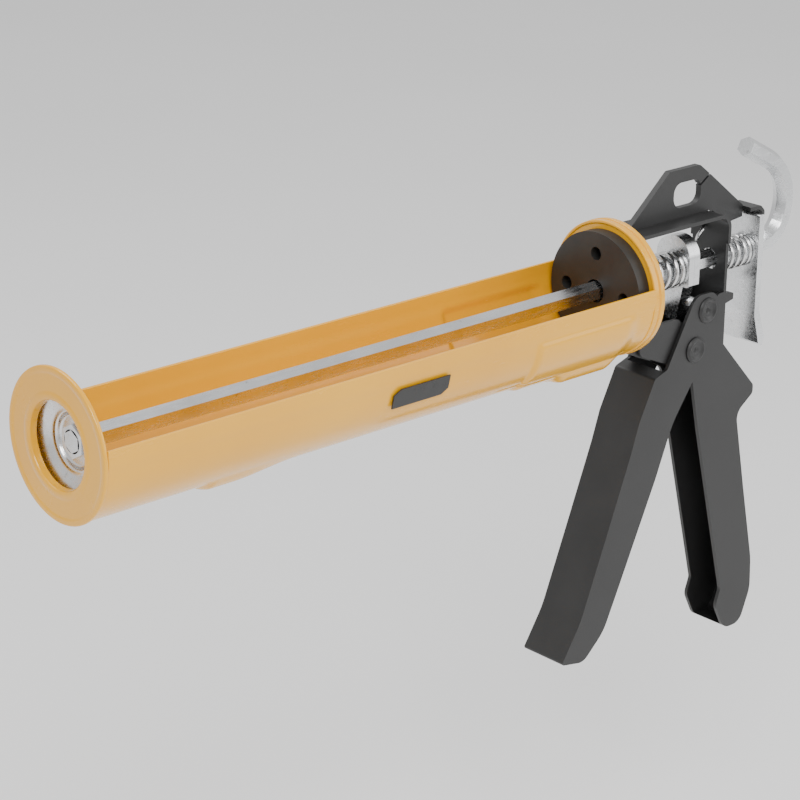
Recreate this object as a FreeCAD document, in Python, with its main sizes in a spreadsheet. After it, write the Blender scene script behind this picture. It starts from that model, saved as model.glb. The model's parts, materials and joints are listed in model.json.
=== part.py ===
"""Rotating-cradle caulking gun, in millimetres.

The origin is the centre of the nozzle opening, on the front plate's outer face.  +X runs along the
push rod towards the handle, +Z is up and the handle hangs down.
"""
import FreeCAD, Part
import math
import os

from FreeCAD import Placement, Rotation, Vector

DIMENSIONS = {
    # barrel
    "barrel_radius": 26.5,
    "barrel_sheet": 1.2,
    "rim_height": 5.5,
    "front_plate_thick": 1.6,
    "nozzle_radius": 14.55,
    "nozzle_lip_length": 3.0,
    "nozzle_lip_thick": 1.0,
    "rear_plate_front": 253.0,
    "barrel_length": 258.0,
    "boss_radius": 23.1,
    "boss_front": 247.4,
    "boss_hole_radius": 2.6,
    "boss_hole_circle": 14.8,
    "hub_head_radius": 8.5,
    "hub_head_thick": 2.4,
    "hub_radius": 6.2,
    "hub_end": 270.5,
    "running_gap": 0.05,
    "free_gap": 0.3,
    # frame
    "flange_front": 258.5,
    "flange_radius": 22.5,
    "nose_radius": 9.6,
    "nose_end": 270.2,
    "frame_sheet": 1.5,
    "frame_half_width": 8.8,
    "top_arm_height": 20.5,
    "rear_wall_back": 314.0,
    "hang_sheet": 1.3,
    "hang_hole_length": 15.6,
    "hang_hole_height": 10.0,
    # rod
    "rod_across_flats": 7.0,
    "rod_front": 6.0,
    "hook_start": 342.0,
    "hook_tight_radius": 14.0,
    "hook_tight_angle": 60.0,
    "hook_wide_radius": 20.0,
    "hook_wide_angle": 92.0,
    "hook_tail": 16.5,
    "rod_hole_radius": 4.35,
    "pusher_radius": 22.5,
    "pusher_sheet": 1.4,
    "pusher_front": 2.4,
    "pusher_dish": 6.0,
    # lever, rivets and plates
    "lever_half_width": 10.6,
    "lever_sheet": 1.4,
    "pivot_along": 294.8,
    "pivot_down": 31.6,
    "thrust_along": 301.2,
    "thrust_down": 16.6,
    "rivet_radius": 2.4,
    "rivet_head_radius": 5.2,
    "rivet_head_thick": 1.3,
    "roller_radius": 3.4,
    "drive_plate_thick": 3.0,
    "drive_plate_front": 291.4,
    "release_plate_front": 332.0,
    "release_plate_thick": 3.0,
    "release_half_width": 9.0,
    "release_hole_radius": 4.9,
    # springs
    "drive_spring_radius": 6.6,
    "drive_spring_wire": 0.95,
    "release_spring_radius": 5.9,
    "release_spring_wire": 0.8,
}

doc = FreeCAD.newDocument("caulking_gun")
sheet = doc.addObject("Spreadsheet::Sheet", "Dimensions")
for row, (alias, value) in enumerate(DIMENSIONS.items(), start=1):
    sheet.set(f"A{row}", alias)
    sheet.set(f"B{row}", str(value))
    sheet.setAlias(f"B{row}", alias)
doc.recompute()

nodes = []


def size(alias):
    """The value of one driving dimension."""
    return float(sheet.get(alias))


def bind(obj, **expressions):
    """Ties properties to the sheet; a double underscore in a name stands for a dot."""
    for prop, text in expressions.items():
        for alias in sorted(DIMENSIONS, key=len, reverse=True):
            text = text.replace(f"[{alias}]", f"Dimensions.{alias}")
        obj.setExpression(prop.replace("__", "."), text)


def node(obj, label):
    """Marks a finished sub-part; its label names its file."""
    obj.Label = label
    nodes.append(obj)
    return obj


def cylinder(name, radius, length, along="0", axis=Vector(1, 0, 0), centre=Vector(0, 0, 0)):
    """A cylinder whose radius, length and place along X are expressions."""
    solid = doc.addObject("Part::Cylinder", name)
    solid.Placement = Placement(centre, Rotation(Vector(0, 0, 1), axis))
    bind(solid, Radius=radius, Height=length, Placement__Base__x=along)
    return solid


def cross_pin(name, radius, half_length, along, down):
    """A cylinder along Y, centred on the gun's middle plane."""
    pin = doc.addObject("Part::Cylinder", name)
    pin.Placement = Placement(Vector(0, 0, 0), Rotation(Vector(0, 0, 1), Vector(0, 1, 0)))
    bind(
        pin,
        Radius=radius,
        Height=f"2 * ({half_length})",
        Placement__Base__x=along,
        Placement__Base__y=f"-({half_length})",
        Placement__Base__z=f"-({down})",
    )
    return pin


def cone(name, radius_start, radius_end, length, along):
    """A cone along X."""
    solid = doc.addObject("Part::Cone", name)
    solid.Placement = Placement(Vector(0, 0, 0), Rotation(Vector(0, 0, 1), Vector(1, 0, 0)))
    bind(solid, Radius1=radius_start, Radius2=radius_end, Height=length, Placement__Base__x=along)
    return solid


def fuse(name, *solids):
    """Several solids as one."""
    joined = doc.addObject("Part::MultiFuse", name)
    joined.Shapes = list(solids)
    joined.Refine = True
    return joined


def cut(name, base, *tools):
    """base without the tools."""
    result = doc.addObject("Part::Cut", name)
    result.Base = base
    result.Tool = tools[0] if len(tools) == 1 else fuse(f"{name}_tools", *tools)
    return result


def rounded_outline(corners):
    """Sketch geometry of a closed outline; each corner is (across, up, radius)."""
    count = len(corners)
    arcs = []
    for index, (across, up, radius) in enumerate(corners):
        corner = Vector(across, up, 0)
        before = Vector(*corners[index - 1][:2], 0) - corner
        after = Vector(*corners[(index + 1) % count][:2], 0) - corner
        half_angle = before.getAngle(after) / 2
        setback = min(radius / math.tan(half_angle), 0.48 * before.Length, 0.48 * after.Length)
        radius = setback * math.tan(half_angle)
        before.normalize()
        after.normalize()
        start = corner + before * setback
        end = corner + after * setback
        centre = corner + (before + after).normalize() * (radius / math.sin(half_angle))
        arcs.append((start, end, centre, radius))
    edges = []
    for index, (start, end, centre, radius) in enumerate(arcs):
        if radius > 1e-3:
            first = math.atan2(start.y - centre.y, start.x - centre.x)
            last = math.atan2(end.y - centre.y, end.x - centre.x)
            turns_left = (last - first) % (2 * math.pi) < math.pi
            if not turns_left:
                first, last = last, first
            circle = Part.Circle(centre, Vector(0, 0, 1), radius)
            edges.append(Part.ArcOfCircle(circle, first, last))
        following = arcs[(index + 1) % count][0]
        if (following - end).Length > 1e-6:
            edges.append(Part.LineSegment(end, following))
    return edges


def sketch_in(body, name, plane, geometry):
    """A sketch on one of the body's own origin planes."""
    sketch = body.newObject("Sketcher::SketchObject", name)
    origin_plane = next(f for f in body.Origin.OriginFeatures if f.Role == plane)
    sketch.AttachmentSupport = [(origin_plane, "")]
    sketch.MapMode = "FlatFace"
    sketch.addGeometry(geometry, False)
    return sketch


def pad(body, name, corners, width, plane="XZ_Plane"):
    """Pads an outline by an expression, half to each side of its plane."""
    feature = body.newObject("PartDesign::Pad", name)
    feature.Profile = sketch_in(body, f"{name}_outline", plane, rounded_outline(corners))
    feature.SideType = "Symmetric"
    bind(feature, Length=width)
    doc.recompute()
    return feature


def pocket(body, name, geometry, width, plane="XZ_Plane"):
    """Cuts an outline away by an expression, half to each side of its plane."""
    before = body.Shape.Volume
    feature = body.newObject("PartDesign::Pocket", name)
    feature.Profile = sketch_in(body, f"{name}_outline", plane, geometry)
    feature.SideType = "Symmetric"
    bind(feature, Length=width)
    doc.recompute()
    if body.Shape.Volume >= before - 1e-6:
        raise RuntimeError(f"{name} cuts nothing")
    return feature


def ring_hole(across, up, radius):
    """Sketch geometry of one round hole."""
    return [Part.Circle(Vector(across, up, 0), Vector(0, 0, 1), radius)]


def new_body(label):
    """An empty PartDesign body that becomes a node."""
    return node(doc.addObject("PartDesign::Body", label), label)


# ---------------------------------------------------------------- barrel


def front_plate():
    """Round front plate with the nozzle opening and its rolled-in lip."""
    plate = cylinder("front_disc", "[barrel_radius]", "[front_plate_thick]")
    lip = cylinder("nozzle_lip", "[nozzle_radius] + [nozzle_lip_thick]", "[nozzle_lip_length]")
    hole = cylinder("nozzle_hole", "[nozzle_radius]", "2 * [nozzle_lip_length]", "-[nozzle_lip_length] / 2")
    node(cut("front_plate_shape", fuse("front_plate_blank", plate, lip), hole), "front_plate")


def cradle():
    """Open trough: a half tube with straight walls up to the two rims."""
    body = new_body("cradle")
    outer = size("barrel_radius")
    inner = outer - size("barrel_sheet")
    rim = size("rim_height")
    axis = Vector(0, 0, 1)
    section = [
        Part.ArcOfCircle(Part.Circle(Vector(0, 0, 0), axis, outer), math.pi, 2 * math.pi),
        Part.LineSegment(Vector(outer, 0, 0), Vector(outer, rim, 0)),
        Part.LineSegment(Vector(outer, rim, 0), Vector(inner, rim, 0)),
        Part.LineSegment(Vector(inner, rim, 0), Vector(inner, 0, 0)),
        Part.ArcOfCircle(Part.Circle(Vector(0, 0, 0), axis, inner), math.pi, 2 * math.pi),
        Part.LineSegment(Vector(-inner, 0, 0), Vector(-inner, rim, 0)),
        Part.LineSegment(Vector(-inner, rim, 0), Vector(-outer, rim, 0)),
        Part.LineSegment(Vector(-outer, rim, 0), Vector(-outer, 0, 0)),
    ]
    length = body.newObject("PartDesign::Pad", "cradle_length")
    length.Profile = sketch_in(body, "cradle_section", "YZ_Plane", section)
    bind(length, Length="[rear_plate_front] - [front_plate_thick]")
    bind(body, Placement__Base__x="[front_plate_thick]")


def rear_plate():
    """Cup-shaped rear plate with a turned-back rim; it turns on the hub."""
    depth = "[barrel_length] - [rear_plate_front]"
    cup = cylinder("rear_cup", "[barrel_radius]", depth, "[rear_plate_front]")
    inside = cylinder(
        "rear_cup_inside",
        "[barrel_radius] - [barrel_sheet]",
        depth,
        "[rear_plate_front] + [barrel_sheet]",
    )
    bore = cylinder("rear_bore", "[hub_radius] + [running_gap]", depth, "[rear_plate_front] - 1")
    node(cut("rear_plate_shape", cup, inside, bore), "rear_plate")


def locating_boss():
    """Plastic boss that centres the cartridge's open end, with four round holes."""
    length = "[rear_plate_front] - [boss_front]"
    disc = cylinder("boss_disc", "[boss_radius]", length, "[boss_front]")
    rod_hole = cylinder("boss_rod_hole", "[rod_hole_radius] + 0.2", length, "[boss_front] - 1")
    recess = cylinder(
        "boss_recess",
        "[hub_head_radius] + [free_gap]",
        "[hub_head_thick] + 2 * [free_gap]",
        "[rear_plate_front] - [hub_head_thick] - 2 * [free_gap]",
    )
    holes = []
    for index in range(4):
        turn = math.radians(90 * index)
        hole = cylinder(f"boss_hole_{index}", "[boss_hole_radius]", length, "[boss_front] - 1")
        bind(
            hole,
            Placement__Base__y=f"[boss_hole_circle] * {round(math.cos(turn))}",
            Placement__Base__z=f"[boss_hole_circle] * {round(math.sin(turn))}",
        )
        holes.append(hole)
    node(cut("boss_shape", disc, rod_hole, recess, *holes), "locating_boss")


def label_plate():
    """Plain dark plate with a cut corner on the cradle's side; it carries no text."""
    body = new_body("label_plate")
    corners = [(-13, -3.6, 0), (10, -3.6, 0), (13, -1.6, 0), (13, 3.6, 0), (-10, 3.6, 0), (-13, 1.6, 0)]
    pad(body, "label_thickness", corners, "0.5")
    slope = 14.0
    reach = size("barrel_radius") + 0.26
    place = Vector(134, -reach * math.cos(math.radians(slope)), -reach * math.sin(math.radians(slope)))
    body.Placement = Placement(place, Rotation(Vector(1, 0, 0), slope))


# ---------------------------------------------------------------- frame


def pivot_hub():
    """Flanged bush the barrel turns on; the push rod runs through it."""
    head_start = "[rear_plate_front] - [hub_head_thick] - [free_gap]"
    head = cylinder("hub_head", "[hub_head_radius]", "[hub_head_thick]", head_start)
    neck = cylinder("hub_neck", "[hub_radius]", f"[hub_end] - ({head_start})", head_start)
    bore = cylinder("hub_bore", "[rod_hole_radius]", "30", "[boss_front]")
    node(cut("hub_shape", fuse("hub_blank", head, neck), bore), "pivot_hub")


def thrust_washer():
    """Washer on the hub between the turning rear plate and the frame."""
    start = "[rear_plate_front] + [barrel_sheet] + [free_gap]"
    length = "[nose_end] - [frame_sheet] - [rear_plate_front] - [barrel_sheet] - [free_gap]"
    sleeve = cylinder("sleeve_outside", "[hub_radius] + 2", length, start)
    washer = cylinder("washer_outside", "[hub_radius] + 6", "1.5", start)
    hole = cylinder("washer_hole", "[hub_radius]", "30", "[rear_plate_front]")
    node(cut("washer_shape", fuse("washer_blank", sleeve, washer), hole), "thrust_sleeve")


def nose_flange():
    """Dished steel flange that joins the hub to the two frame arms."""
    depth = "[nose_end] - [flange_front]"
    dish = cone("nose_cone", "[flange_radius]", "[nose_radius]", depth, "[flange_front]")
    hollow = cone(
        "nose_hollow",
        "[flange_radius] - 2 * [frame_sheet]",
        "[nose_radius] - 1",
        f"{depth} - [frame_sheet]",
        "[flange_front]",
    )
    bore = cylinder("nose_bore", "[hub_radius]", "30", "[flange_front] - 2")
    node(cut("nose_shape", dish, hollow, bore), "nose_flange")


def top_arm():
    """Upper arm of the frame, bent down at the back into the rear wall that guides the rod."""
    body = new_body("top_arm")
    top = size("top_arm_height")
    back = size("rear_wall_back")
    steel = size("frame_sheet")
    outer_bend = 6.0
    corners = [
        (262.0, top, 0),
        (back, top, outer_bend),
        (back, 8.0, 0),
        (back - steel, 8.0, 0),
        (back - steel, top - steel, outer_bend - steel),
        (262.0, top - steel, 0),
    ]
    pad(body, "top_arm_width", corners, "2 * [frame_half_width] + 2")


def rear_wall():
    """Rear wall between the arms, with the rod's guide hole and two small stop ears."""
    body = new_body("rear_wall")
    back = size("rear_wall_back")
    steel = size("frame_sheet")
    corners = [
        (back - steel, 8.0, 0),
        (back, 8.0, 0),
        (back, -12.5, 0),
        (back + 4.5, -13.5, 0),
        (back + 4.5, -16.0, 0),
        (back, -17.0, 0),
        (back, -34.0, 0),
        (back - steel, -34.0, 0),
    ]
    pad(body, "rear_wall_width", corners, "2 * [frame_half_width]")
    between_ears = [(back, -18.0, 0), (back + 6.0, -18.0, 0), (back + 6.0, -11.0, 0), (back, -11.0, 0)]
    pocket(body, "stop_ear_gap", rounded_outline(between_ears), "2 * ([frame_half_width] - 3)")
    pocket(body, "rod_guide_hole", ring_hole(0, 0, size("rod_hole_radius")), "800", "YZ_Plane")


def hang_plates():
    """Two flat sheets, side by side, that carry the hang hole and hold the release plate's hook."""
    top = size("top_arm_height")
    back = size("rear_wall_back")
    half_length = size("hang_hole_length") / 2
    half_height = size("hang_hole_height") / 2
    middle = Vector(296.6, 29.6, 0)
    corners = [
        (263.2, top, 0),
        (back, top, 6.0),
        (back, 12.5, 0),
        (330.2, 14.2, 0),
        (330.2, 19.0, 0),
        (311.0, 34.2, 2),
        (303.4, 40.0, 2),
        (286.0, 40.0, 2),
    ]
    hole = [
        (middle.x - half_length, middle.y - half_height, 4.2),
        (middle.x + half_length, middle.y - half_height, 4.2),
        (middle.x + half_length, middle.y + half_height, 4.2),
        (middle.x - half_length, middle.y + half_height, 4.2),
    ]
    slit = [(302.6, 31.4, 0), (303.2, 30.8, 0), (312.0, 36.4, 0), (311.4, 37.2, 0)]
    for side, label in ((-0.5, "hang_plate_left"), (0.5, "hang_plate_right")):
        body = new_body(label)
        pad(body, f"{label}_thickness", corners, "[hang_sheet]")
        pocket(body, f"{label}_hole", rounded_outline(hole), "10")
        pocket(body, f"{label}_slit", rounded_outline(slit), "10")
        bind(body, Placement__Base__y=f"{side} * [hang_sheet]")


def release_hook():
    """Hooked strap behind the hang plates that the release plate's top edge rocks in."""
    body = new_body("release_hook")
    corners = [
        (330.2, 16.9, 0),
        (336.0, 16.9, 1),
        (337.6, 15.2, 1),
        (337.6, 10.5, 0),
        (339.0, 10.5, 0),
        (339.0, 16.0, 2),
        (336.6, 18.4, 1),
        (330.2, 18.6, 0),
    ]
    pad(body, "release_hook_width", corners, "11")


def grip_channel():
    """Lower arm and fixed grip: one channel, open to the front, with a beavertail over the hand."""
    body = new_body("grip_channel")
    steel = size("frame_sheet")
    back = size("rear_wall_back")
    corners = [
        (264.5, -17.0, 0),
        (286.0, -17.5, 3),
        (290.5, -21.4, 3),
        (305.5, -21.4, 3),
        (309.0, -12.0, 2),
        (back - steel, -12.0, 0),
        (back - steel, -34.0, 0),
        (back, -34.0, 0),
        (320.4, -41.0, 2),
        (334.0, -55.8, 2),
        (334.0, -59.4, 2),
        (324.4, -66.0, 6),
        (331.5, -100.0, 60),
        (339.0, -134.0, 30),
        (339.6, -148.0, 14),
        (334.0, -162.1, 6),
        (324.0, -162.1, 6),
        (318.0, -150.0, 5),
        (320.5, -143.0, 3),
        (301.2, -67.3, 40),
        (296.0, -44.0, 6),
        (282.0, -35.5, 6),
        (264.5, -28.0, 4),
    ]
    pad(body, "grip_width", corners, "2 * [frame_half_width]")
    inside = [
        (255.0, -10.0, 0),
        (back - steel, -10.0, 0),
        (back - steel, -34.6, 0),
        (319.4, -42.1, 2),
        (332.4, -56.4, 1),
        (332.4, -58.6, 1),
        (322.7, -65.2, 6),
        (330.0, -100.0, 60),
        (337.4, -134.0, 30),
        (338.0, -147.6, 12),
        (333.2, -160.5, 5),
        (312.0, -160.5, 0),
        (290.0, -60.0, 0),
        (255.0, -45.0, 0),
    ]
    pocket(body, "grip_inside", rounded_outline(inside), "2 * ([frame_half_width] - [frame_sheet])")
    pivot = ring_hole(size("pivot_along"), -size("pivot_down"), size("rivet_radius"))
    pocket(body, "grip_pivot_hole", pivot, "60")


def arm_bridge():
    """Bent tab that closes the lower arm's front and is welded under the nose flange."""
    body = new_body("arm_bridge")
    corners = [
        (263.0, -17.6, 0),
        (264.5, -17.6, 0),
        (264.5, -27.0, 1),
        (273.0, -30.6, 0),
        (272.4, -32.0, 0),
        (263.0, -28.0, 2),
    ]
    pad(body, "arm_bridge_width", corners, "2 * ([frame_half_width] - [frame_sheet]) - 0.02")


def pivot_rivet():
    """Rivet through the lower arm that the trigger lever turns on."""
    reach = "[lever_half_width] + 0.2"
    shank = cross_pin("pivot_shank", "[rivet_radius]", f"{reach} + 0.5", "[pivot_along]", "[pivot_down]")
    heads = cross_pin(
        "pivot_heads", "[rivet_head_radius]", f"{reach} + [rivet_head_thick]", "[pivot_along]", "[pivot_down]"
    )
    gap = cross_pin("pivot_gap", "[rivet_head_radius] + 1", reach, "[pivot_along]", "[pivot_down]")
    node(fuse("pivot_rivet_shape", shank, cut("pivot_head_pair", heads, gap)), "pivot_rivet")


# ---------------------------------------------------------------- lever and plates


def trigger_lever():
    """Front lever: a channel with its rounded web to the front and two long cheeks."""
    body = new_body("trigger_lever")
    corners = [
        (294.0, -9.6, 6.4),
        (308.0, -9.6, 6.4),
        (306.8, -22.0, 20),
        (300.0, -37.0, 20),
        (283.5, -60.0, 40),
        (275.0, -81.0, 60),
        (256.0, -122.0, 60),
        (248.0, -139.0, 20),
        (237.0, -149.0, 6),
        (224.6, -146.6, 1),
        (234.6, -131.0, 40),
        (248.6, -96.0, 60),
        (260.0, -67.0, 20),
        (264.0, -55.0, 10),
        (272.2, -38.6, 2),
        (279.0, -36.4, 1),
        (287.0, -22.0, 30),
    ]
    pad(body, "lever_width", corners, "2 * [lever_half_width]")
    inside = [
        (286.0, 0.0, 0),
        (315.0, 0.0, 0),
        (315.0, -38.0, 0),
        (262.0, -152.0, 0),
        (234.4, -152.0, 0),
        (227.4, -145.4, 1),
        (236.0, -131.6, 40),
        (250.0, -96.5, 60),
        (261.4, -67.5, 20),
        (265.4, -55.5, 10),
        (273.1, -40.0, 1),
        (277.0, -38.8, 0),
    ]
    pocket(body, "lever_inside", rounded_outline(inside), "2 * ([lever_half_width] - [lever_sheet])")
    holes = ring_hole(size("pivot_along"), -size("pivot_down"), size("rivet_radius") + size("running_gap"))
    holes += ring_hole(size("thrust_along"), -size("thrust_down"), size("rivet_radius"))
    pocket(body, "lever_rivet_holes", holes, "60")


def thrust_rivet():
    """Upper rivet of the lever; its middle carries the roller."""
    reach = "[lever_half_width]"
    shank = cross_pin("thrust_shank", "[rivet_radius]", f"{reach} + 0.5", "[thrust_along]", "[thrust_down]")
    heads = cross_pin(
        "thrust_heads", "[rivet_head_radius]", f"{reach} + [rivet_head_thick]", "[thrust_along]", "[thrust_down]"
    )
    gap = cross_pin("thrust_gap", "[rivet_head_radius] + 1", reach, "[thrust_along]", "[thrust_down]")
    node(fuse("thrust_rivet_shape", shank, cut("thrust_head_pair", heads, gap)), "thrust_rivet")


def thrust_roller():
    """Hard roller on the thrust rivet that pushes the drive plates."""
    tyre = cross_pin("roller_outside", "[roller_radius]", "6", "[thrust_along]", "[thrust_down]")
    hole = cross_pin("roller_hole", "[rivet_radius]", "8", "[thrust_along]", "[thrust_down]")
    node(cut("roller_shape", tyre, hole), "thrust_roller")


def drive_plates():
    """Two hardened gripping plates on the rod: a round head and a narrow tongue."""
    corners = [
        (-8.6, 13.4, 8.4),
        (8.6, 13.4, 8.4),
        (8.6, -6.2, 1),
        (5.6, -6.2, 0),
        (3.0, -20.5, 1),
        (-3.0, -20.5, 1),
        (-5.6, -6.2, 0),
        (-8.6, -6.2, 1),
    ]
    for index, label in enumerate(("drive_plate_front", "drive_plate_rear")):
        body = new_body(label)
        pad(body, f"{label}_thickness", corners, "[drive_plate_thick]", "YZ_Plane")
        pocket(body, f"{label}_hole", ring_hole(0, 0, size("rod_hole_radius")), "60", "YZ_Plane")
        step = f"{index} * ([drive_plate_thick] + 0.05)"
        bind(body, Placement__Base__x=f"[drive_plate_front] + [drive_plate_thick] / 2 + {step}")


def release_plate():
    """Release plate: hooked at the top, bored for the rod, with a thumb tab at the bottom."""
    body = new_body("release_plate")
    front = size("release_plate_front")
    back = front + size("release_plate_thick")
    corners = [
        (front, 15.8, 0.8),
        (back, 15.8, 0.8),
        (back, -25.0, 6),
        (back + 4.0, -36.5, 0),
        (back + 3.0, -40.5, 1.2),
        (front + 3.4, -38.5, 1),
        (front, -26.0, 6),
    ]
    pad(body, "release_width", corners, "2 * [release_half_width]")
    pocket(body, "release_rod_hole", ring_hole(0, 0, size("release_hole_radius")), "800", "YZ_Plane")


# ---------------------------------------------------------------- push rod


def bend_from(place, heading, radius, turn):
    """An arc in the middle plane, turning upwards; gives the arc, its end and its new heading."""

    def on_bend(angle):
        along = radius * (math.sin(heading + angle) - math.sin(heading))
        up = radius * (math.cos(heading) - math.cos(heading + angle))
        return place + Vector(along, 0, up)

    arc = Part.Arc(place, on_bend(turn / 2), on_bend(turn)).toShape()
    return arc, on_bend(turn), heading + turn


def push_rod():
    """Hexagonal rod whose back end is bent up and forwards, in two radii, into the pull hook."""
    start = Vector(size("rod_front"), 0, 0)
    place = Vector(size("hook_start"), 0, 0)
    edges = [Part.LineSegment(start, place).toShape()]
    heading = 0.0
    for bend in ("tight", "wide"):
        turn = math.radians(size(f"hook_{bend}_angle"))
        arc, place, heading = bend_from(place, heading, size(f"hook_{bend}_radius"), turn)
        edges.append(arc)
    tip = place + Vector(math.cos(heading), 0, math.sin(heading)) * size("hook_tail")
    edges.append(Part.LineSegment(place, tip).toShape())
    corner = size("rod_across_flats") / math.sqrt(3)
    ring = []
    for index in range(7):
        angle = math.radians(60 * index)
        ring.append(start + Vector(0, math.sin(angle), math.cos(angle)) * corner)
    section = Part.makePolygon(ring)
    rod = doc.addObject("Part::Feature", "push_rod_shape")
    rod.Shape = Part.Wire(edges).makePipeShell([section], True, False, 1)
    node(rod, "push_rod")


def pusher_disc():
    """Dished steel disc that presses on the cartridge's plunger; its centre is set back."""
    rim = size("pusher_front")
    centre = rim + size("pusher_dish")
    radius = size("pusher_radius")
    steel = size("pusher_sheet")
    hole = size("rod_across_flats") / math.sqrt(3) + 0.05
    profile = [
        (rim, radius),
        (rim, radius - 2.4),
        (centre - 1.6, 11.4),
        (centre, 9.6),
        (centre, hole),
        (centre + steel, hole),
        (centre + steel, 10.4),
        (centre - 1.6 + steel, 12.2),
        (rim + steel, radius - 1.8),
        (rim + steel, radius),
    ]
    points = [Vector(across, 0, up) for across, up in profile]
    face = Part.Face(Part.makePolygon(points + points[:1]))
    disc = doc.addObject("Part::Feature", "pusher_shape")
    disc.Shape = face.revolve(Vector(0, 0, 0), Vector(1, 0, 0), 360)
    node(disc, "pusher_disc")


def pusher_fasteners():
    """Nut in front of the pusher disc and the washer behind it."""
    corner_hole = "[rod_across_flats] / sqrt(3) + 0.05"
    centre = "[pusher_front] + [pusher_dish]"
    nut = doc.addObject("Part::Prism", "nut_blank")
    nut.Polygon = 6
    nut.Placement = Placement(Vector(0, 0, 0), Rotation(Vector(0, 0, 1), Vector(1, 0, 0)))
    bind(nut, Circumradius="6.0", Height="2.2", Placement__Base__x=f"{centre} - 2.22")
    nut_hole = cylinder("nut_hole", corner_hole, "6", f"{centre} - 4")
    node(cut("nut_shape", nut, nut_hole), "rod_nut")
    washer = cylinder("backing_outside", "6.2", "1.6", f"{centre} + [pusher_sheet] + 0.02")
    washer_hole = cylinder("backing_hole", corner_hole, "6", centre)
    node(cut("backing_shape", washer, washer_hole), "backing_washer")


# ---------------------------------------------------------------- springs


def coil(label, start, end, radius, wire, turns):
    """A round-wire compression spring round the push rod."""
    length = end - start - 2 * wire
    helix = Part.makeHelix(length / turns, length, radius)
    helix.rotate(Vector(0, 0, 0), Vector(0, 1, 0), 90)
    helix.translate(Vector(start + wire, 0, 0))
    first = helix.Vertexes[0].Point
    tangent = helix.Edges[0].tangentAt(helix.Edges[0].FirstParameter)
    section = Part.Wire(Part.makeCircle(wire, first, tangent))
    spring = doc.addObject("Part::Feature", f"{label}_shape")
    spring.Shape = Part.Wire(helix.Edges).makePipeShell([section], True, True)
    node(spring, label)


def springs():
    """Return spring of the drive plates and the release plate's spring."""
    coil(
        "drive_spring",
        size("nose_end") + 0.4,
        size("drive_plate_front") - 0.1,
        size("drive_spring_radius"),
        size("drive_spring_wire"),
        5,
    )
    coil(
        "release_spring",
        size("rear_wall_back") + 0.1,
        size("release_plate_front") - 0.1,
        size("release_spring_radius"),
        size("release_spring_wire"),
        5,
    )


front_plate()
cradle()
rear_plate()
locating_boss()
label_plate()
pivot_hub()
thrust_washer()
nose_flange()
top_arm()
rear_wall()
hang_plates()
release_hook()
grip_channel()
arm_bridge()
pivot_rivet()
trigger_lever()
thrust_rivet()
thrust_roller()
drive_plates()
release_plate()
push_rod()
pusher_disc()
pusher_fasteners()
springs()
doc.recompute()

for obj in doc.Objects:
    if "Invalid" in obj.State or "Error" in obj.State:
        raise RuntimeError(f"{obj.Label} failed: {obj.State}")
for part in nodes:
    if part.Shape.isNull() or not part.Shape.isValid():
        raise RuntimeError(f"{part.Label} has no valid shape")

os.makedirs("parts", exist_ok=True)
for part in nodes:
    part.Shape.exportStep(f"parts/{part.Label}.step")
    print(part.Label, len(part.Shape.Solids), round(part.Shape.Volume, 1))
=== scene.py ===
"""Caulking gun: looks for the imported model, in metres."""
import json
import math

import bmesh
import bpy
from mathutils import Matrix, Vector


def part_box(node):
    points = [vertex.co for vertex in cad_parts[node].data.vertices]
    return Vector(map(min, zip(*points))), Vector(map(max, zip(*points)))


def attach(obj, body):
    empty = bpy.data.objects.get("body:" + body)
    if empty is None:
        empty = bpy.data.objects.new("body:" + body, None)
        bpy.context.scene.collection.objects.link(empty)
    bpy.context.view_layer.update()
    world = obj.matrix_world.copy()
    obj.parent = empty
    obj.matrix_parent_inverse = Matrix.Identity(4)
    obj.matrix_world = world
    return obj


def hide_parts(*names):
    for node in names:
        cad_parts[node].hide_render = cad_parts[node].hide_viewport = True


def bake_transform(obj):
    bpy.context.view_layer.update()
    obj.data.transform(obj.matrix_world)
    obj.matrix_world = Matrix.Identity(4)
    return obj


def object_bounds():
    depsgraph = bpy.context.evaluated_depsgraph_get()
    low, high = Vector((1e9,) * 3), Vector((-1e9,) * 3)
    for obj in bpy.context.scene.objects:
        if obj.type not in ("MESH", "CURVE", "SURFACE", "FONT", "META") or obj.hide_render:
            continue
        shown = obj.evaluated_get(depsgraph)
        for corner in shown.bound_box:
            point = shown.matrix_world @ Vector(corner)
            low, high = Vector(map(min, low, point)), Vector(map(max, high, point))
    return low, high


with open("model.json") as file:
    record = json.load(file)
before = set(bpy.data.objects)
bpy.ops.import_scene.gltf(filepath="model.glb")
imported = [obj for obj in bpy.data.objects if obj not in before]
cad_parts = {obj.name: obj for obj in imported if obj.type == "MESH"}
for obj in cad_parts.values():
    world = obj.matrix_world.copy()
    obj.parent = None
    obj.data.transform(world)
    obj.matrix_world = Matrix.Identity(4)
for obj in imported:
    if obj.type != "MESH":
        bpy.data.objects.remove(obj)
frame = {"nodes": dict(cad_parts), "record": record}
cad_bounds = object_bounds()

MM = 0.001
STEEL_SHEET = 1.2 * MM
PUSHER_SHEET = 1.4 * MM
NOZZLE_RADIUS = 14.55 * MM
HUB_BORE = 6.25 * MM
ROD_HOLE = 4.1 * MM
RIVET_RADIUS = 2.4 * MM
RIVET_HEAD = 1.3 * MM
DRIVE_WIRE = 0.95 * MM
RELEASE_WIRE = 0.8 * MM
COIL_TURNS = 5
FLOOR_DROP = 0.12
CAMERA_PLACE = (-0.41982, -0.62270, 0.28982)
LENS = 113.03


# ---------------------------------------------------------------- mesh helpers


def smooth_step(low, high, value):
    """0 below low, 1 above high, smooth between."""
    share = min(max((value - low) / (high - low), 0.0), 1.0)
    return share * share * (3.0 - 2.0 * share)


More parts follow.
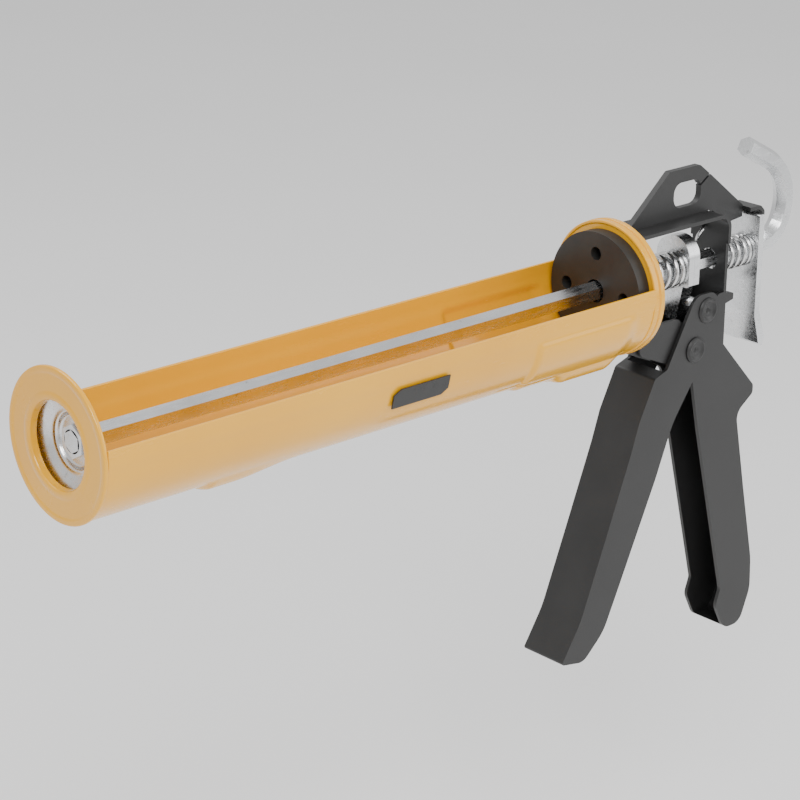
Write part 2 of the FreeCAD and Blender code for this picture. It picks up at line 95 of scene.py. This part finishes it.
def mesh_object(name, points, faces, smooth=True):
    """A new mesh object in the scene."""
    mesh = bpy.data.meshes.new(name)
    mesh.from_pydata([tuple(p) for p in points], [], faces)
    mesh.validate()
    mesh.update()
    mesh.polygons.foreach_set("use_smooth", [smooth] * len(mesh.polygons))
    obj = bpy.data.objects.new(name, mesh)
    bpy.context.scene.collection.objects.link(obj)
    return obj


def bevel(obj, width, segments=2, angle=32.0):
    """Rounds the sharp edges of an object a little."""
    modifier = obj.modifiers.new("edge_round", "BEVEL")
    modifier.width = width
    modifier.segments = segments
    modifier.limit_method = "ANGLE"
    modifier.angle_limit = math.radians(angle)
    modifier.harden_normals = True
    modifier.use_clamp_overlap = True


def lathe(name, profile, centre=(0, 0, 0), axis="X", segments=160):
    """A closed ring turned round an axis; the profile is a loop of (along, radius)."""
    points = []
    for index in range(segments):
        turn = 2 * math.pi * index / segments
        for along, radius in profile:
            across = (radius * math.cos(turn), radius * math.sin(turn))
            if axis == "X":
                offset = Vector((along, across[0], across[1]))
            else:
                offset = Vector((across[1], along, across[0]))
            points.append(Vector(centre) + offset)
    count = len(profile)
    faces = []
    for index in range(segments):
        following = (index + 1) % segments
        for step in range(count):
            after = (step + 1) % count
            faces.append(
                (
                    index * count + step,
                    index * count + after,
                    following * count + after,
                    following * count + step,
                )
            )
    obj = mesh_object(name, points, faces)
    fix_normals(obj)
    return obj


def fix_normals(obj):
    """Turns every face outwards."""
    work = bmesh.new()
    work.from_mesh(obj.data)
    bmesh.ops.recalc_face_normals(work, faces=work.faces)
    work.to_mesh(obj.data)
    work.free()


def rounded_loop(corners, steps=5):
    """A closed 2D loop with its corners rounded; each corner is (across, up, radius)."""
    loop = []
    count = len(corners)
    for index, (across, up, radius) in enumerate(corners):
        corner = Vector((across, up))
        before = Vector(corners[index - 1][:2]) - corner
        after = Vector(corners[(index + 1) % count][:2]) - corner
        reach = min(radius, 0.45 * before.length, 0.45 * after.length)
        if reach < 1e-7:
            loop.append(tuple(corner))
            continue
        start = corner + before.normalized() * reach
        end = corner + after.normalized() * reach
        for step in range(steps + 1):
            share = step / steps
            point = start * (1 - share) ** 2 + corner * 2 * share * (1 - share) + end * share**2
            loop.append(tuple(point))
    return loop


def tube(name, path, radius, sides=14):
    """A round tube with closed ends along a list of points."""
    points = []
    faces = []
    normal = None
    for index, place in enumerate(path):
        ahead = path[min(index + 1, len(path) - 1)]
        behind = path[max(index - 1, 0)]
        tangent = (ahead - behind).normalized()
        if normal is None:
            normal = tangent.orthogonal().normalized()
        normal = (normal - tangent * normal.dot(tangent)).normalized()
        side = tangent.cross(normal)
        for step in range(sides):
            turn = 2 * math.pi * step / sides
            points.append(place + (normal * math.cos(turn) + side * math.sin(turn)) * radius)
    for index in range(len(path) - 1):
        for step in range(sides):
            after = (step + 1) % sides
            low = index * sides
            faces.append((low + step, low + after, low + sides + after, low + sides + step))
    faces.append(tuple(range(sides))[::-1])
    last = (len(path) - 1) * sides
    faces.append(tuple(range(last, last + sides)))
    obj = mesh_object(name, points, faces)
    fix_normals(obj)
    return obj


# ---------------------------------------------------------------- materials


def new_material(name):
    """An empty node material with its shader, and a short way to add nodes."""
    material = bpy.data.materials.new(name)
    material.use_nodes = True
    tree = material.node_tree
    shader = tree.nodes["Principled BSDF"]
    place = tree.nodes.new("ShaderNodeTexCoord").outputs["Object"]
    return material, tree, shader, place


def noise(tree, place, scale, detail=4.0, roughness=0.55, stretch=None):
    """A noise value over the surface; stretch scales the three axes."""
    if stretch:
        mapping = tree.nodes.new("ShaderNodeMapping")
        mapping.inputs["Scale"].default_value = stretch
        tree.links.new(place, mapping.inputs["Vector"])
        place = mapping.outputs["Vector"]
    texture = tree.nodes.new("ShaderNodeTexNoise")
    texture.inputs["Scale"].default_value = scale
    texture.inputs["Detail"].default_value = detail
    texture.inputs["Roughness"].default_value = roughness
    tree.links.new(place, texture.inputs["Vector"])
    return texture.outputs["Fac"]


def ramp(tree, value, low, high, start, end):
    """Maps a value from low..high to a colour or grey from start to end."""
    node = tree.nodes.new("ShaderNodeValToRGB")
    node.color_ramp.elements[0].position = low
    node.color_ramp.elements[1].position = high
    node.color_ramp.elements[0].color = (*start, 1.0)
    node.color_ramp.elements[1].color = (*end, 1.0)
    tree.links.new(value, node.inputs["Fac"])
    return node.outputs["Color"]


def mixed(tree, factor, first, second):
    """One colour over another by a factor."""
    node = tree.nodes.new("ShaderNodeMix")
    node.data_type = "RGBA"
    tree.links.new(factor, node.inputs["Factor"])
    tree.links.new(first, node.inputs["A"])
    tree.links.new(second, node.inputs["B"])
    return node.outputs["Result"]


def bump(tree, shader, height, strength, distance):
    """Drives the shader's normal from a height."""
    node = tree.nodes.new("ShaderNodeBump")
    node.inputs["Strength"].default_value = strength
    node.inputs["Distance"].default_value = distance
    tree.links.new(height, node.inputs["Height"])
    tree.links.new(node.outputs["Normal"], shader.inputs["Normal"])


def grey(level):
    """One level as a colour."""
    return (level, level, level)


def yellow_enamel():
    """Glossy yellow enamel on sheet steel, with orange peel and faint handling marks."""
    material, tree, shader, place = new_material("yellow_enamel")
    patches = noise(tree, place, 14.0, 3.0)
    colour = ramp(tree, patches, 0.3, 0.7, (0.80, 0.37, 0.0), (0.86, 0.42, 0.003))
    marks = noise(tree, place, 60.0, 8.0, 0.7, (0.25, 1.0, 1.0))
    mark_mask = ramp(tree, marks, 0.66, 0.76, grey(0), grey(0.35))
    dull = ramp(tree, marks, 0.0, 1.0, (0.66, 0.30, 0.004), (0.70, 0.33, 0.008))
    tree.links.new(mixed(tree, mark_mask, colour, dull), shader.inputs["Base Color"])
    tree.links.new(ramp(tree, marks, 0.35, 0.8, grey(0.2), grey(0.34)), shader.inputs["Roughness"])
    shader.inputs["Coat Weight"].default_value = 0.5
    shader.inputs["Coat Roughness"].default_value = 0.12
    bump(tree, shader, noise(tree, place, 420.0, 2.0), 0.10, 0.0003)
    return material


def black_powder():
    """Semi-gloss black powder coat with a fine pebble."""
    material, tree, shader, place = new_material("black_powder")
    patches = noise(tree, place, 30.0, 5.0)
    colour = ramp(tree, patches, 0.3, 0.75, grey(0.012), grey(0.022))
    tree.links.new(colour, shader.inputs["Base Color"])
    tree.links.new(ramp(tree, patches, 0.25, 0.75, grey(0.34), grey(0.48)), shader.inputs["Roughness"])
    bump(tree, shader, noise(tree, place, 1400.0, 3.0), 0.16, 0.0002)
    return material


def zinc_plate(name, tint, rough_low, rough_high, stretch):
    """Bright zinc-plated steel with fine drawing lines, cloudy patches and small spots."""
    material, tree, shader, place = new_material(name)
    clouds = noise(tree, place, 45.0, 6.0, 0.6)
    dark = tuple(0.80 * channel for channel in tint)
    base = ramp(tree, clouds, 0.3, 0.7, dark, tint)
    spots = ramp(tree, noise(tree, place, 380.0, 3.0), 0.66, 0.74, grey(0), grey(0.5))
    spot_colour = ramp(tree, clouds, 0.0, 1.0, (0.30, 0.30, 0.31), (0.42, 0.41, 0.39))
    tree.links.new(mixed(tree, spots, base, spot_colour), shader.inputs["Base Color"])
    lines = noise(tree, place, 900.0, 3.0, 0.6, stretch)
    tree.links.new(ramp(tree, lines, 0.3, 0.7, grey(rough_low), grey(rough_high)), shader.inputs["Roughness"])
    shader.inputs["Metallic"].default_value = 1.0
    bump(tree, shader, lines, 0.10, 0.0001)
    return material


def black_moulding():
    """Matte black moulded plastic with a light scuff haze."""
    material, tree, shader, place = new_material("black_moulding")
    haze = noise(tree, place, 55.0, 7.0, 0.65)
    colour = ramp(tree, haze, 0.35, 0.8, grey(0.012), (0.035, 0.034, 0.030))
    tree.links.new(colour, shader.inputs["Base Color"])
    tree.links.new(ramp(tree, haze, 0.3, 0.8, grey(0.42), grey(0.6)), shader.inputs["Roughness"])
    bump(tree, shader, noise(tree, place, 900.0, 4.0), 0.12, 0.0002)
    return material


def label_film():
    """Plain dark printed film, a little shinier in places."""
    material, tree, shader, place = new_material("label_film")
    haze = noise(tree, place, 120.0, 4.0)
    tree.links.new(ramp(tree, haze, 0.3, 0.8, grey(0.010), grey(0.022)), shader.inputs["Base Color"])
    tree.links.new(ramp(tree, haze, 0.3, 0.7, grey(0.25), grey(0.38)), shader.inputs["Roughness"])
    bump(tree, shader, noise(tree, place, 1500.0, 2.0), 0.05, 0.0001)
    return material


def floor_finish():
    """Plain pale studio floor."""
    material, tree, shader, place = new_material("studio_floor")
    clouds = noise(tree, place, 3.0, 2.0)
    tree.links.new(ramp(tree, clouds, 0.3, 0.7, grey(0.86), grey(0.88)), shader.inputs["Base Color"])
    shader.inputs["Roughness"].default_value = 0.9
    return material


FINISHES = {
    "yellow_paint": yellow_enamel(),
    "black_paint": black_powder(),
    "black_plastic": black_moulding(),
    "zinc_steel": zinc_plate("zinc_plate", (0.80, 0.81, 0.82), 0.16, 0.34, (0.15, 1.0, 1.0)),
    "spring_steel": zinc_plate("spring_wire", (0.78, 0.78, 0.78), 0.12, 0.26, (1.0, 1.0, 1.0)),
    "label": label_film(),
}
SLOT_OF = {entry["node"]: entry["material_slot"] for entry in frame["record"]["subparts"]}


def finish_piece(obj, body, slot_name, *replaced):
    """Gives a new piece its body, material slot, finish and the CAD nodes it stands for."""
    obj.data.materials.clear()
    obj.data.materials.append(FINISHES[slot_name])
    if replaced:
        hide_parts(*replaced)
    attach(obj, body)


EDGE_WIDTH = {
    "locating_boss": 0.7 * MM,
    "push_rod": 0.45 * MM,
    "trigger_lever": 0.65 * MM,
    "grip_channel": 0.65 * MM,
    "drive_plate_front": 0.35 * MM,
    "drive_plate_rear": 0.35 * MM,
    "release_plate": 0.4 * MM,
    "thrust_roller": 0.4 * MM,
}


def dress_cad_nodes():
    """Finishes for the CAD nodes that stay, with their edges broken."""
    for name, obj in frame["nodes"].items():
        obj.data.materials.clear()
        obj.data.materials.append(FINISHES[SLOT_OF[name]])
        bevel(obj, EDGE_WIDTH.get(name, 0.25 * MM))


# ---------------------------------------------------------------- barrel pieces


def cradle_press(along, turn):
    """How far the pressed sheet stands proud at a place along the trough and round it."""
    side = abs(turn)
    proud = -0.5 * MM * (1.0 - smooth_step(math.radians(82), math.radians(93), side))
    panel = smooth_step(0.1905, 0.1935, along) * (1.0 - smooth_step(0.238, 0.246, along))
    panel *= smooth_step(math.radians(18), math.radians(30), side)
    panel *= 1.0 - smooth_step(math.radians(80), math.radians(88), side)
    heel = smooth_step(0.209, 0.217, along) * (1.0 - smooth_step(0.238, 0.249, along))
    heel *= 1.0 - smooth_step(math.radians(26), math.radians(44), side)
    toe = smooth_step(0.0505, 0.0525, along) * (1.0 - smooth_step(0.062, 0.090, along))
    toe *= 1.0 - smooth_step(math.radians(24), math.radians(42), side)
    seam = math.exp(-(((math.degrees(side) - 40.0) / 1.3) ** 2))
    seam *= smooth_step(0.175, 0.182, along) * (1.0 - smooth_step(0.246, 0.250, along))
    return proud + (1.1 * panel + 2.4 * heel + 1.7 * toe - 0.35 * seam) * MM


def cradle_skin():
    """The trough as one pressed sheet, with its side panels, heel and rims."""
    low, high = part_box("cradle")
    radius = high.y - STEEL_SHEET / 2
    rim = high.z
    rows = 380
    arc_steps = 132
    wall_steps = 8
    turns = []
    for step in range(wall_steps):
        turns.append((-math.pi / 2, rim * (1 - step / wall_steps)))
    for step in range(arc_steps + 1):
        turns.append((math.pi * (step / arc_steps - 0.5), 0.0))
    for step in range(wall_steps):
        turns.append((math.pi / 2, rim * (step + 1) / wall_steps))
    points = []
    for row in range(rows + 1):
        along = low.x + (high.x - low.x) * row / rows
        for turn, lift in turns:
            slant = math.copysign(abs(turn) + lift / radius, turn)
            reach = radius + cradle_press(along, slant)
            points.append((along, reach * math.sin(turn), lift - reach * math.cos(turn)))
    count = len(turns)
    faces = []
    for row in range(rows):
        for step in range(count - 1):
            first = row * count + step
            faces.append((first, first + 1, first + count + 1, first + count))
    skin = mesh_object("cradle_sheet", points, faces)
    solid = skin.modifiers.new("sheet", "SOLIDIFY")
    solid.thickness = STEEL_SHEET
    solid.offset = 0.0
    bevel(skin, 0.35 * MM, 3, 50.0)
    finish_piece(skin, "barrel", "yellow_paint", "cradle")


def front_plate_skin():
    """Front plate with a rounded outer edge and the nozzle opening's rolled lip."""
    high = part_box("front_plate")[1]
    outer = high.y
    hole = NOZZLE_RADIUS
    profile = rounded_loop(
        [
            (0.0, outer, 0.7 * MM),
            (1.6 * MM, outer, 0.5 * MM),
            (1.6 * MM, hole + 2.2 * MM, 0.8 * MM),
            (high.x, hole + 1.2 * MM, 0.4 * MM),
            (high.x, hole + 0.1 * MM, 0.4 * MM),
            (0.0, hole + 0.6 * MM, 1.3 * MM),
            (0.0, hole + 2.6 * MM, 0.0),
            (0.25 * MM, hole + 3.4 * MM, 0.4 * MM),
            (0.25 * MM, outer - 2.6 * MM, 0.4 * MM),
            (0.0, outer - 1.8 * MM, 0.4 * MM),
        ]
    )
    plate = lathe("front_plate_disc", profile, segments=224)
    finish_piece(plate, "barrel", "yellow_paint", "front_plate")


def rear_plate_skin():
    """Rear plate: a pressed cup with a double lip round its rim."""
    low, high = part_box("rear_plate")
    outer = high.y
    bore = HUB_BORE
    front = low.x
    back = high.x
    profile = rounded_loop(
        [
            (front, bore, 0.1 * MM),
            (front, outer - 1.5 * MM, 0.5 * MM),
            (front - 0.5 * MM, outer - 1.1 * MM, 0.3 * MM),
            (front - 0.5 * MM, outer - 0.1 * MM, 0.4 * MM),
            (front + 1.9 * MM, outer - 0.1 * MM, 0.3 * MM),
            (front + 2.3 * MM, outer - 0.6 * MM, 0.2 * MM),
            (front + 2.7 * MM, outer + 0.1 * MM, 0.3 * MM),
            (back, outer, 0.6 * MM),
            (back, outer - 1.2 * MM, 0.3 * MM),
            (front + 1.2 * MM, outer - 1.6 * MM, 0.8 * MM),
            (front + 1.2 * MM, bore, 0.1 * MM),
        ]
    )
    plate = lathe("rear_plate_cup", profile, segments=224)
    finish_piece(plate, "barrel", "yellow_paint", "rear_plate")


# ---------------------------------------------------------------- rod pieces


def pusher_skin():
    """Dished pusher disc with a rounded rim and a stepped centre."""
    low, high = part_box("pusher_disc")
    rim = low.x
    radius = high.y
    deep = high.x
    steel = PUSHER_SHEET
    hole = ROD_HOLE
    profile = rounded_loop(
        [
            (rim, radius, 0.6 * MM),
            (rim, radius - 2.4 * MM, 1.2 * MM),
            (deep - steel - 1.6 * MM, 11.4 * MM, 1.0 * MM),
            (deep - steel - 1.7 * MM, 9.6 * MM, 0.6 * MM),
            (deep - steel, 8.8 * MM, 0.7 * MM),
            (deep - steel, hole, 0.1 * MM),
            (deep, hole, 0.1 * MM),
            (deep, 9.6 * MM, 0.7 * MM),
            (deep - 1.0 * MM, 12.2 * MM, 1.0 * MM),
            (rim + steel, radius - 1.8 * MM, 1.2 * MM),
            (rim + steel, radius, 0.6 * MM),
        ]
    )
    disc = lathe("pusher_dish", profile, segments=192)
    finish_piece(disc, "rod", "zinc_steel", "pusher_disc")


# ---------------------------------------------------------------- springs and wire


def coil_path(start, end, radius, turns, closed_turns=0.75):
    """Points of a compression spring along X with closed end coils."""
    steps = int(turns * 40)
    end_share = closed_turns / turns
    path = []
    for index in range(steps + 1):
        share = index / steps
        turn = 2 * math.pi * turns * share
        rise = (share - end_share * 0.55) / (1.0 - 1.1 * end_share)
        rise = min(max(rise, 0.0), 1.0)
        along = start + (end - start) * (0.06 * share + 0.94 * rise)
        path.append(Vector((along, radius * math.sin(turn), radius * math.cos(turn))))
    return path


def spring_piece(name, cad_node, wire, turns):
    """A wire spring between the frame and a body that it pushes, coiled once at its rest length."""
    low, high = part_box(cad_node)
    radius = high.y - wire
    path = coil_path(low.x + wire, high.x - wire, radius, turns)
    coil = tube(name, path, wire)
    coil.data.materials.append(FINISHES["spring_steel"])
    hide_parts(cad_node)
    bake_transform(coil)


def keeper_wire():
    """Bent wire behind the drive plates that keeps the rod's rear guide from rattling."""
    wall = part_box("rear_wall")[1].x - 6.0 * MM
    path = [
        Vector((wall, 3.0 * MM, 14.0 * MM)),
        Vector((wall - 3.0 * MM, 2.0 * MM, 11.0 * MM)),
        Vector((wall - 7.0 * MM, 0.5 * MM, 9.0 * MM)),
        Vector((wall - 8.6 * MM, -1.5 * MM, 11.5 * MM)),
        Vector((wall - 7.6 * MM, -3.0 * MM, 14.5 * MM)),
    ]
    wire = tube("keeper_wire", path, 0.7 * MM)
    finish_piece(wire, "frame", "spring_steel")


# ---------------------------------------------------------------- rivets


def rivet_skin(name, cad_node, body):
    """A rivet with a dished head on each side."""
    low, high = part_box(cad_node)
    centre = (low + high) / 2
    reach = (high.y - low.y) / 2
    head = (high.z - low.z) / 2
    shank = RIVET_RADIUS
    thick = RIVET_HEAD
    inner = reach - thick
    profile = rounded_loop(
        [
            (-reach + 0.9 * MM, 0.02 * MM, 0.0),
            (-reach + 0.9 * MM, head * 0.55, 0.8 * MM),
            (-reach, head * 0.80, 0.5 * MM),
            (-inner - 0.3 * MM, head, 0.5 * MM),
            (-inner, head, 0.1 * MM),
            (-inner, shank, 0.0),
            (inner, shank, 0.0),
            (inner, head, 0.1 * MM),
            (inner + 0.3 * MM, head, 0.5 * MM),
            (reach, head * 0.80, 0.5 * MM),
            (reach - 0.9 * MM, head * 0.55, 0.8 * MM),
            (reach - 0.9 * MM, 0.02 * MM, 0.0),
        ],
        steps=4,
    )
    rivet = lathe(name, profile, centre, "Y", 72)
    finish_piece(rivet, body, "black_paint", cad_node)


# ---------------------------------------------------------------- stage


def area_light(name, place, target, width, power):
    """A soft light aimed at a point."""
    data = bpy.data.lights.new(name, "AREA")
    data.size = width
    data.energy = power
    light = bpy.data.objects.new(name, data)
    light.location = place
    light.rotation_euler = (Vector(target) - Vector(place)).to_track_quat("-Z", "Y").to_euler()
    bpy.context.scene.collection.objects.link(light)


def studio():
    """Pale floor, soft light and a bright plain surround."""
    lowest = cad_bounds[0][2]
    side = 6.0
    floor = mesh_object(
        "studio_floor",
        [(-side, -side, 0), (side, -side, 0), (side, side, 0), (-side, side, 0)],
        [(0, 1, 2, 3)],
        False,
    )
    floor.location = (0, 0, lowest - FLOOR_DROP)
    floor.data.materials.append(floor_finish())
    world = bpy.data.worlds.new("studio")
    bpy.context.scene.world = world
    world.use_nodes = True
    world.node_tree.nodes["Background"].inputs["Color"].default_value = (1, 1, 1, 1)
    world.node_tree.nodes["Background"].inputs["Strength"].default_value = 0.85
    middle = (0.18, 0.0, 0.0)
    area_light("key", (-0.5, -0.9, 1.0), middle, 0.7, 14.0)
    area_light("fill", (0.9, -0.9, 0.35), middle, 0.9, 5.0)
    area_light("top", (0.1, 0.5, 1.2), middle, 0.9, 9.0)


def camera():
    """Long lens from the front left, a little above the gun."""
    azimuth = math.radians(-42.35)
    elevation = math.radians(20.19)
    roll = math.radians(0.42)
    back = Vector(
        (
            math.sin(azimuth) * math.cos(elevation),
            -math.cos(azimuth) * math.cos(elevation),
            math.sin(elevation),
        )
    )
    right = Vector((0, 0, 1)).cross(back).normalized()
    up = back.cross(right)
    turned_right = right * math.cos(roll) + up * math.sin(roll)
    turned_up = back.cross(turned_right)
    basis = Matrix((turned_right, turned_up, back)).transposed()
    data = bpy.data.cameras.new("camera")
    data.sensor_width = 36.0
    data.lens = LENS
    data.clip_start = 0.01
    view = bpy.data.objects.new("camera", data)
    view.matrix_world = Matrix.Translation(CAMERA_PLACE) @ basis.to_4x4()
    bpy.context.scene.collection.objects.link(view)
    bpy.context.scene.camera = view


camera()
studio()
dress_cad_nodes()
cradle_skin()
front_plate_skin()
rear_plate_skin()
pusher_skin()
spring_piece("drive_coil", "drive_spring", DRIVE_WIRE, COIL_TURNS)
spring_piece("release_coil", "release_spring", RELEASE_WIRE, COIL_TURNS)
keeper_wire()
rivet_skin("pivot_rivet_dished", "pivot_rivet", "frame")
rivet_skin("thrust_rivet_dished", "thrust_rivet", "lever")
